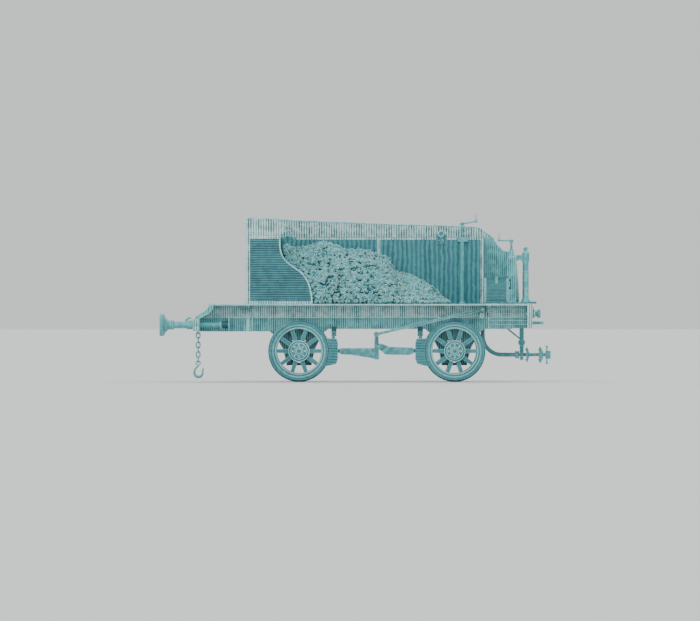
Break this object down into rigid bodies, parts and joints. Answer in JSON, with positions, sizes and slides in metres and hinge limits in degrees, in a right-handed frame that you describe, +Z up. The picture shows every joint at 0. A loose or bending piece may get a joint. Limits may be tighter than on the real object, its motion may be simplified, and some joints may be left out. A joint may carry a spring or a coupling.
{
  "type": "railway tender",
  "caption": "Four-wheeled iron tender shown in long section: spoked flanged wheels, plate frame, water tank, heap of coke, hand brake, buffers, hook chain and feed pipe.",
  "frame": {"origin": "centre of the bounding box in plan, at the bottom of the wheel flanges", "axes": "+X along the vehicle towards the footplate and drawbar, +Y across it away from the cut-open side, +Z up"},
  "size_m": [7.18, 2.3, 3.0959],
  "materials": {
    "frame_paint_dark": "satin dark teal paint on iron plate, pale worn edges",
    "frame_paint_pale": "pale teal paint with fine vertical streaks",
    "apron_timber": "pale painted timber",
    "deck_boards": "painted timber boards",
    "guide_iron": "painted cast iron",
    "spring_steel": "forged spring steel",
    "tank_side_paint": "dark teal paint on riveted sheet",
    "tank_wall_paint": "mid teal paint with vertical streaks",
    "bulkhead_paint": "pale teal paint",
    "coping_paint": "pale teal paint with vertical streaks",
    "coke": "porous pale coke lumps",
    "fitting_iron": "pale painted castings",
    "box_timber": "painted boards",
    "casing_paint": "pale teal paint",
    "pipe_metal": "painted iron pipe",
    "axle_steel": "turned steel",
    "wheel_paint": "mid teal paint on cast spokes",
    "tyre_steel": "rolled steel tyre, polished tread",
    "buffer_iron": "pale forged iron, worn face",
    "hook_iron": "forged iron",
    "crank_steel": "bright hand-worn steel",
    "grip_wood": "turned pale wood",
    "plug_brass": "turned brass",
    "brake_iron": "forged iron, painted",
    "block_iron": "cast brake blocks"
  },
  "bodies": {
    "frame": {"frame_plates": "frame_paint_dark", "frame_stays": "frame_paint_dark", "frame_doublers": "frame_paint_pale", "rear_headstock": "frame_paint_pale", "front_beam": "frame_paint_pale", "rear_apron": "apron_timber", "deck_planks": "deck_boards", "footplate_boards": "deck_boards", "horn_guides": "guide_iron", "axleboxes": "guide_iron", "leaf_springs": "spring_steel", "buffer_spring_near": "spring_steel", "buffer_spring_far": "spring_steel", "tank_rear_sheets": "tank_side_paint", "tank_side_far": "tank_side_paint", "tank_inner_wall": "tank_wall_paint", "tank_top": "tank_wall_paint", "tank_partition": "bulkhead_paint", "coping": "coping_paint", "coke_load": "coke", "filler_neck": "fitting_iron", "valve_casing": "fitting_iron", "pipe_bracket": "fitting_iron", "buffer_guides": "fitting_iron", "handrail_columns": "fitting_iron", "toolbox": "box_timber", "brake_casing": "casing_paint", "feed_pipe": "pipe_metal"},
    "wheelset_rear": {"axle_rear": "axle_steel", "wheels_rear": "wheel_paint", "tyres_rear": "tyre_steel"},
    "wheelset_front": {"axle_front": "axle_steel", "wheels_front": "wheel_paint", "tyres_front": "tyre_steel"},
    "buffer_near": {"buffer_near": "buffer_iron"},
    "buffer_far": {"buffer_far": "buffer_iron"},
    "front_buffer_near": {"front_buffer_near": "buffer_iron"},
    "front_buffer_far": {"front_buffer_far": "buffer_iron"},
    "drawhook": {"drawhook": "hook_iron"},
    "drawbar": {"drawbar": "hook_iron"},
    "chain_upper": {"chain_upper": "hook_iron"},
    "chain_lower": {"chain_lower": "hook_iron"},
    "chain_hook": {"chain_hook": "hook_iron"},
    "valve_crank": {"valve_crank": "crank_steel"},
    "valve_grip": {"valve_grip": "grip_wood"},
    "valve_plug": {"valve_plug": "plug_brass"},
    "brake_crank": {"brake_crank": "crank_steel"},
    "brake_grip": {"brake_grip": "grip_wood"},
    "brake_nut": {"brake_nut": "plug_brass"},
    "brake_shaft": {"brake_shaft": "brake_iron"},
    "pull_rods": {"pull_rods": "brake_iron"},
    "brake_gear_rear": {"brake_gear_rear": "block_iron"},
    "push_rods_rear": {"push_rods_rear": "brake_iron"},
    "brake_levers": {"brake_levers": "brake_iron"},
    "brake_gear_front": {"brake_gear_front": "block_iron"},
    "push_rods_front": {"push_rods_front": "brake_iron"},
    "filler_lid": {"filler_lid": "fitting_iron"},
    "toolbox_lid": {"toolbox_lid": "box_timber"},
    "fall_plate": {"fall_plate": "fitting_iron"},
    "feed_slider": {"feed_slider": "pipe_metal"}
  },
  "joints": [
    {"name": "rear_wheels_spin", "type": "hinge", "parent": "frame", "child": "wheelset_rear", "pos_m": [-1.04, 0, 0.564], "axis": [0, 1, 0], "continuous": true},
    {"name": "front_wheels_spin", "type": "hinge", "parent": "frame", "child": "wheelset_front", "pos_m": [1.812, 0, 0.564], "axis": [0, 1, 0], "continuous": true},
    {"name": "near_buffer_stroke", "type": "slide", "parent": "frame", "child": "buffer_near", "axis": [1, 0, 0], "range_m": [0, 0.075], "stiffness_N_per_m": 200000, "deforming": ["buffer_spring_near"]},
    {"name": "far_buffer_stroke", "type": "slide", "parent": "frame", "child": "buffer_far", "axis": [1, 0, 0], "range_m": [0, 0.075], "stiffness_N_per_m": 200000, "deforming": ["buffer_spring_far"]},
    {"name": "near_front_buffer_stroke", "type": "slide", "parent": "frame", "child": "front_buffer_near", "axis": [-1, 0, 0], "range_m": [0, 0.04], "stiffness_N_per_m": 100000},
    {"name": "far_front_buffer_stroke", "type": "slide", "parent": "frame", "child": "front_buffer_far", "axis": [-1, 0, 0], "range_m": [0, 0.04], "stiffness_N_per_m": 100000},
    {"name": "drawhook_pull", "type": "slide", "parent": "frame", "child": "drawhook", "axis": [-1, 0, 0], "range_m": [0, 0.04], "stiffness_N_per_m": 200000},
    {"name": "drawbar_swing", "type": "hinge", "parent": "frame", "child": "drawbar", "pos_m": [3.185, 0, 1.08], "axis": [0, 0, 1], "range_deg": [-8, 8]},
    {"name": "chain_swing", "type": "hinge", "parent": "frame", "child": "chain_upper", "pos_m": [-2.895, 0, 0.886], "axis": [0, 1, 0], "range_deg": [-30, 30]},
    {"name": "chain_middle_swing", "type": "hinge", "parent": "chain_upper", "child": "chain_lower", "pos_m": [-2.895, 0, 0.6426], "axis": [0, 1, 0], "range_deg": [-30, 30]},
    {"name": "chain_hook_swing", "type": "hinge", "parent": "chain_lower", "child": "chain_hook", "pos_m": [-2.895, 0, 0.3544], "axis": [0, 1, 0], "range_deg": [-30, 30]},
    {"name": "valve_crank_turn", "type": "hinge", "parent": "frame", "child": "valve_crank", "pos_m": [1.96, 0.46, 2.9], "axis": [0, 0, 1], "range_deg": [0, 1440]},
    {"name": "valve_grip_spin", "type": "hinge", "parent": "valve_crank", "child": "valve_grip", "pos_m": [2.215, 0.46, 3.03], "axis": [0, 0, 1], "continuous": true},
    {"name": "valve_plug_lift", "type": "slide", "parent": "frame", "child": "valve_plug", "axis": [0, 0, 1], "range_m": [0, 0.041]},
    {"name": "brake_crank_turn", "type": "hinge", "parent": "frame", "child": "brake_crank", "pos_m": [2.87, 0.7, 2.59], "axis": [0, 0, 1], "range_deg": [0, 1080]},
    {"name": "brake_grip_spin", "type": "hinge", "parent": "brake_crank", "child": "brake_grip", "pos_m": [2.64, 0.7, 2.68], "axis": [0, 0, 1], "continuous": true},
    {"name": "brake_nut_travel", "type": "slide", "parent": "frame", "child": "brake_nut", "axis": [0, 0, -1], "range_m": [0, 0.0615]},
    {"name": "brake_shaft_turn", "type": "hinge", "parent": "frame", "child": "brake_shaft", "pos_m": [2.31, 0, 1.21], "axis": [0, 1, 0], "range_deg": [0, 6.3]},
    {"name": "pull_rod_pin", "type": "hinge", "parent": "brake_shaft", "child": "pull_rods", "pos_m": [2.31, 0, 1.33], "axis": [0, 1, 0], "range_deg": [-6.4, 0]},
    {"name": "rear_hanger_swing", "type": "hinge", "parent": "frame", "child": "brake_gear_rear", "pos_m": [-0.4, 0, 0.89], "axis": [0, 1, 0], "range_deg": [0, 0.9]},
    {"name": "rear_rod_pin", "type": "hinge", "parent": "brake_gear_rear", "child": "push_rods_rear", "pos_m": [-0.24, 0, 0.565], "axis": [0, 1, 0], "range_deg": [-0.9, 0]},
    {"name": "lever_pin", "type": "hinge", "parent": "push_rods_rear", "child": "brake_levers", "pos_m": [0.35, 0, 0.455], "axis": [0, 1, 0], "range_deg": [0, 2.7]},
    {"name": "front_hanger_swing", "type": "hinge", "parent": "frame", "child": "brake_gear_front", "pos_m": [1.185, 0, 0.89], "axis": [0, 1, 0], "range_deg": [-0.9, 0]},
    {"name": "front_rod_pin", "type": "hinge", "parent": "brake_gear_front", "child": "push_rods_front", "pos_m": [1.005, 0, 0.57], "axis": [0, 1, 0], "range_deg": [0, 0.45]},
    {"name": "filler_lid_hinge", "type": "hinge", "parent": "frame", "child": "filler_lid", "pos_m": [-1.905, 0, 2.836], "axis": [0, -1, 0], "range_deg": [0, 95]},
    {"name": "toolbox_lid_hinge", "type": "hinge", "parent": "frame", "child": "toolbox_lid", "pos_m": [2.57, -0.414, 1.913], "axis": [-1, 0, 0], "range_deg": [0, 100]},
    {"name": "fall_plate_hinge", "type": "hinge", "parent": "frame", "child": "fall_plate", "pos_m": [3.09, 0, 1.481], "axis": [0, -1, 0], "range_deg": [0, 95]},
    {"name": "feed_pipe_slide", "type": "slide", "parent": "frame", "child": "feed_slider", "axis": [1, 0, 0], "range_m": [-0.02, 0.02]}
  ],
  "couplings": [
    {"joint": "valve_plug_lift", "follows": "valve_crank_turn", "m_per_rad": 0.0015915},
    {"joint": "brake_nut_travel", "follows": "brake_crank_turn", "m_per_rad": 0.0032202},
    {"joint": "brake_shaft_turn", "follows": "brake_crank_turn", "ratio": 0.0057296},
    {"joint": "pull_rod_pin", "follows": "brake_crank_turn", "ratio": -0.0058145},
    {"joint": "rear_hanger_swing", "follows": "brake_crank_turn", "ratio": 0.00079047},
    {"joint": "rear_rod_pin", "follows": "brake_crank_turn", "ratio": -0.00079047},
    {"joint": "lever_pin", "follows": "brake_crank_turn", "ratio": 0.0023714},
    {"joint": "front_hanger_swing", "follows": "brake_crank_turn", "ratio": -0.00079047},
    {"joint": "front_rod_pin", "follows": "brake_crank_turn", "ratio": 0.00037136}
  ]
}
